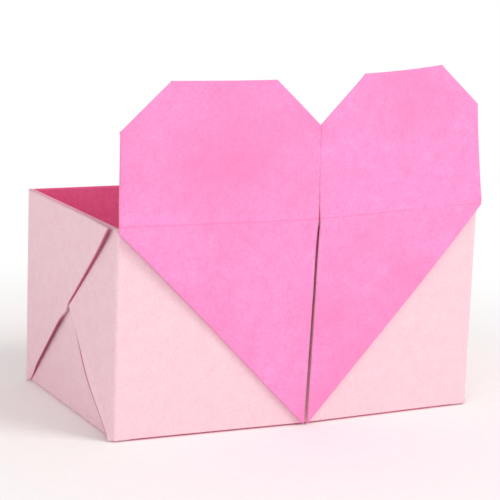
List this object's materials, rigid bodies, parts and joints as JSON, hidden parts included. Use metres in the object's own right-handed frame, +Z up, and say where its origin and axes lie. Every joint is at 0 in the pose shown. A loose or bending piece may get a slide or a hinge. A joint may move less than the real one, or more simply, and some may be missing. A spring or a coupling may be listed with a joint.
{
  "type": "origami box",
  "caption": "Open rectangular box folded from two-coloured paper, with folded corner flaps and a paper heart standing on its front wall.",
  "frame": {"origin": "centre of the box's underside, where it rests", "axes": "+X along the front wall to its right end, +Y from the front wall to the back wall, +Z up"},
  "size_m": [0.0758, 0.045, 0.0642],
  "materials": {
    "box_paper": "matt",
    "heart_paper": "matt"
  },
  "bodies": {
    "root": {"box_sheet": "box_paper", "heart_strip": "heart_paper"}
  },
  "joints": []
}
